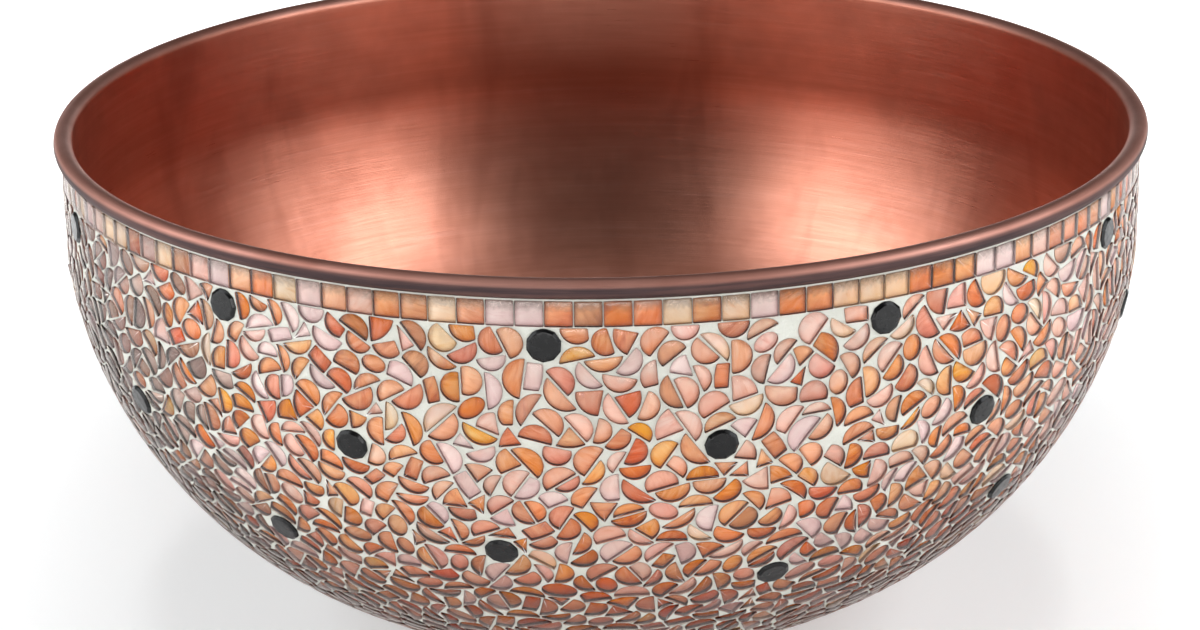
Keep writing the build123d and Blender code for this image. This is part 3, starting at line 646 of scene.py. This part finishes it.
def build_stones(node):
    verts, faces = [], []
    m = 40
    for p in islands(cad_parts[node]):
        fr = flat_frame(p)
        o, side, up, n, t = fr
        h = (p - o) @ n
        ring = outline_of(p[h < 1.0] + n * (t - (p[h < 1.0] - o) @ n)[:, None], fr, m, 0.14, 1.0)
        cutters.append((o, side, up, n, ring, 0.3))
        shrink = inset(ring, 0.03)
        lean = rng.normal(0, 0.02, 2)
        base = len(verts)
        mid = ring.mean(0)
        levels = [(shrink, 0.3), (shrink, 1.60), (inset(ring, 0.10), 1.72), (inset(ring, 0.80), 2.34),
                  (inset(ring, 1.05), 2.44), (mid + (ring - mid) * 0.6, 2.47)]
        bites = list(rng.uniform(-0.16, 0.22, 8))
        # knapped rim: the shoulder wanders in and out a little round the stone
        bite = np.interp(np.arange(m), np.arange(0, m + 5, 5), bites + bites[:1])
        for k, (ring_k, hh) in enumerate(levels):
            mid = ring_k.mean(0)
            for i, (x, y) in enumerate(ring_k):
                s = 1 - 0.028 * bite[i] * 4 * (k in (2, 3)) - 0.012 * bite[i] * (k == 4)
                x2, y2 = mid[0] + (x - mid[0]) * s, mid[1] + (y - mid[1]) * s
                z2 = hh + (lean[0] * x2 + lean[1] * y2) * (k > 1) - (0.10 * abs(bite[i]) * (k in (3, 4)))
                verts.append((o + side * x2 + up * y2 + n * min(z2, 2.5)) * MM)
        mid = ring.mean(0)
        c_top, c_bot = len(verts), len(verts) + 1
        verts.append((o + side * mid[0] + up * mid[1] + n * 2.5) * MM)
        verts.append((o + side * mid[0] + up * mid[1] + n * 0.3) * MM)
        r = lambda k, i: base + k * m + i % m
        for i in range(m):
            for k in range(len(levels) - 1):
                faces.append((r(k, i), r(k, i + 1), r(k + 1, i + 1), r(k + 1, i)))
            faces.append((c_top, r(len(levels) - 1, i), r(len(levels) - 1, i + 1)))
            faces.append((c_bot, r(0, i + 1), r(0, i)))
    ob = new_piece("mosaic_black_stones", verts, faces, [STONE], None, 16.0)
    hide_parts(node)
    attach(ob, "root")
    return ob


for node in sorted(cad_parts):
    if node in ("copper_basin", "rim_wire", "setting_mortar", "black_stones"):
        continue
    tint = node.rsplit("_", 1)[1]
    build_chips(node, tint, 20 if node.startswith("border_tiles") else 26, node.startswith("border_tiles"))
build_stones("black_stones")

# -------------------------------------------------------------------- grout
# Turned to the level the joints are pointed to, then cut by every pocket.
GROUT_OFF = -CHIP_T + GROUT_H
gl = [(r, z, 0, 0) for r, z in profile(COPPER_OUT + 0.02, BEAD_Z - 3.66, FIELD_FOOT_R - 0.9, 3.0)[::-1]]
gl += [(FACE_R - 0.5, BEAD_Z - 3.66, 0, 0)]
gl += [(r, z, 0, 0) for r, z in profile(GROUT_OFF, BEAD_Z - 4.2, FIELD_FOOT_R - 0.3, 1.5)]
grout = lathe("grout", gl, 600, [GROUT], attrs=False, smooth=None)
gm = grout.data
co = np.zeros(len(gm.vertices) * 3)
gm.vertices.foreach_get("co", co)
co = co.reshape(-1, 3)
# trowelled by hand: the joints dip and swell slightly
rr = np.hypot(co[:, 0], co[:, 1])
face = rr > 0
wob = np.zeros(len(co))
for f1, f2, ph, am in ((90, 70, 0.3, 0.4), (150, 130, 1.7, 0.35), (260, 210, 2.9, 0.25)):
    wob += am * np.sin(f1 * co[:, 0] + ph) * np.sin(f2 * co[:, 2] + 2 * ph) * np.cos(f1 * co[:, 1] - ph)
n_inner = len([1 for _ in profile(COPPER_OUT + 0.02, BEAD_Z - 3.66, FIELD_FOOT_R - 0.9, 3.0)]) + 1
idx = np.arange(len(co)) // 600
scale = np.where(idx > n_inner, 1 + 0.00006 * wob / np.maximum(rr, 0.05), 1.0)
co[:, 0] *= scale
co[:, 1] *= scale
gm.vertices.foreach_set("co", co.ravel())
gm.update()
bm = bmesh.new()
bm.from_mesh(gm)
bmesh.ops.recalc_face_normals(bm, faces=bm.faces)
bm.to_mesh(gm)
bm.free()

cv, cf = [], []
for o, side, up, n, ring, bottom in cutters:
    m = len(ring)
    b = len(cv)
    for h in (bottom, 4.0):
        for x, y in ring:
            cv.append((o + side * x + up * y + n * h) * MM)
    cf.append(tuple(b + m - 1 - i for i in range(m)))
    cf.append(tuple(b + m + i for i in range(m)))
    for i in range(m):
        j = (i + 1) % m
        cf.append((b + i, b + j, b + m + j, b + m + i))
cut_me = bpy.data.meshes.new("pockets")
cut_me.from_pydata([tuple(v) for v in cv], [], cf)
cut_me.update()
cut = bpy.data.objects.new("pockets", cut_me)
scene.collection.objects.link(cut)
mod = grout.modifiers.new("pockets", "BOOLEAN")
mod.operation, mod.object, mod.solver = "DIFFERENCE", cut, "MANIFOLD"
got = bpy.data.meshes.new_from_object(grout.evaluated_get(bpy.context.evaluated_depsgraph_get()))
grout.modifiers.clear()
grout.data = got
bpy.data.objects.remove(cut)
got.materials.clear()
got.materials.append(GROUT)
got.polygons.foreach_set("use_smooth", [True] * len(got.polygons))
got.set_sharp_from_angle(angle=math.radians(30))
print("grout faces", len(got.polygons), "pockets", len(cutters))
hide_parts("setting_mortar")
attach(grout, "root")

# -------------------------------------------------------------------- stage
def stage_material():
    """A pale floor that glows, its emission rising from 0.30 round the bowl to 0.96 far out: painted shade round the
    bowl.
    """
    m = Nodes("stage_floor")
    at = m.add("TexCoord").outputs["Object"]
    n = m.noise(at, 3.0, 3.0, 0.5)
    out = m.t.nodes.new("ShaderNodeVectorMath")
    out.operation = "LENGTH"
    m.set(out.inputs[0], at)
    # painted shade: the floor's emission is lower near the bowl
    painted_floor_glow = m.maprange(out.outputs["Value"], 0.25, 1.6, 0.30, 0.96)
    m.principled(Base_Color=m.ramp(n, [(0.3, (0.90, 0.90, 0.90)), (0.7, (0.93, 0.93, 0.93))]),
                 Roughness=m.maprange(n, 0.3, 0.7, 0.7, 0.8), Emission_Color=(1.0, 1.0, 1.0, 1.0),
                 Emission_Strength=painted_floor_glow)
    return m.mat


floor = new_piece("stage_floor", [(-9, -9, 0), (9, -9, 0), (9, 9, 0), (-9, 9, 0)], [(0, 1, 2, 3)],
                  [stage_material()], smooth_angle=None)


def softbox(name, az, el, dist, w, h, power, colour=(1, 1, 1), aim=(0, 0, 0.12), spread=180):
    """An area light at azimuth az (0 front, + to the right) and elevation el."""
    a, e = math.radians(az), math.radians(el)
    light = bpy.data.lights.new(name, "AREA")
    light.shape, light.size, light.size_y = "RECTANGLE", w, h
    light.energy, light.color = power, colour
    light.spread = math.radians(spread)
    ob = bpy.data.objects.new(name, light)
    at = Vector(aim)
    ob.location = at + Vector((math.sin(a) * math.cos(e), -math.cos(a) * math.cos(e), math.sin(e))) * dist
    ob.rotation_euler = (at - ob.location).to_track_quat("-Z", "Y").to_euler()
    scene.collection.objects.link(ob)
    return ob


softbox("key_right", 72, 25, 1.6, 1.3, 1.4, 20, (0.93, 0.97, 1.0))
softbox("key_left", -74, 22, 1.6, 1.4, 1.4, 21, (0.93, 0.97, 1.0))
softbox("overhead", 0, 80, 2.2, 2.0, 1.6, 4)
softbox("front_fill", 0, 4, 2.4, 2.0, 0.32, 18)
softbox("back_fill", 180, 4, 2.4, 2.0, 0.32, 8)
# light that falls straight down on the floor round the bowl
softbox("floor_back", 180, 89.9, 1.1, 3.4, 2.2, 13, aim=(0, 1.52, 0), spread=30)
softbox("floor_right", 0, 89.9, 0.9, 1.2, 2.0, 5.5, aim=(0.88, -0.20, 0), spread=30)
softbox("floor_left", 0, 89.9, 0.9, 1.2, 2.0, 5.5, aim=(-0.88, -0.20, 0), spread=30)
softbox("floor_front", 0, 89.9, 0.9, 1.8, 1.2, 3, aim=(0, -0.95, 0), spread=30)

scene.view_settings.view_transform = "Standard"
world = bpy.data.worlds.new("studio")
scene.world = world
world.use_nodes = True
world.node_tree.nodes["Background"].inputs[0].default_value = (1, 1, 1, 1)
world.node_tree.nodes["Background"].inputs[1].default_value = 0.07

# ------------------------------------------------------------------- camera
# From the front, looking down on the rim.
TILT, DIST, ROLL, PAN, NOD = 0.2839, 1.236, -0.0148, -0.0010, 0.0626
centre = Vector((0, 0, BEAD_Z * MM))
fw = Vector((0, math.cos(TILT), -math.sin(TILT)))
rt = Vector((1, 0, 0))
up_ = rt.cross(fw)
fw2 = math.cos(NOD) * fw - math.sin(NOD) * up_
up2 = math.sin(NOD) * fw + math.cos(NOD) * up_
fw3 = math.cos(PAN) * fw2 + math.sin(PAN) * rt
rt3 = -math.sin(PAN) * fw2 + math.cos(PAN) * rt
rt4 = math.cos(ROLL) * rt3 + math.sin(ROLL) * up2
up4 = -math.sin(ROLL) * rt3 + math.cos(ROLL) * up2
cam_data = bpy.data.cameras.new("camera")
cam_data.sensor_width, cam_data.lens = 36.0, 36.0 * 3239.5 / 1200.0
cam_data.clip_start, cam_data.clip_end = 0.05, 50.0
cam = bpy.data.objects.new("camera", cam_data)
eye = centre + Vector((0, -DIST * math.cos(TILT), DIST * math.sin(TILT)))
from mathutils import Matrix
rot = Matrix((rt4, up4, -fw3)).transposed().to_4x4()
cam.matrix_world = Matrix.Translation(eye) @ rot
scene.collection.objects.link(cam)
scene.camera = cam
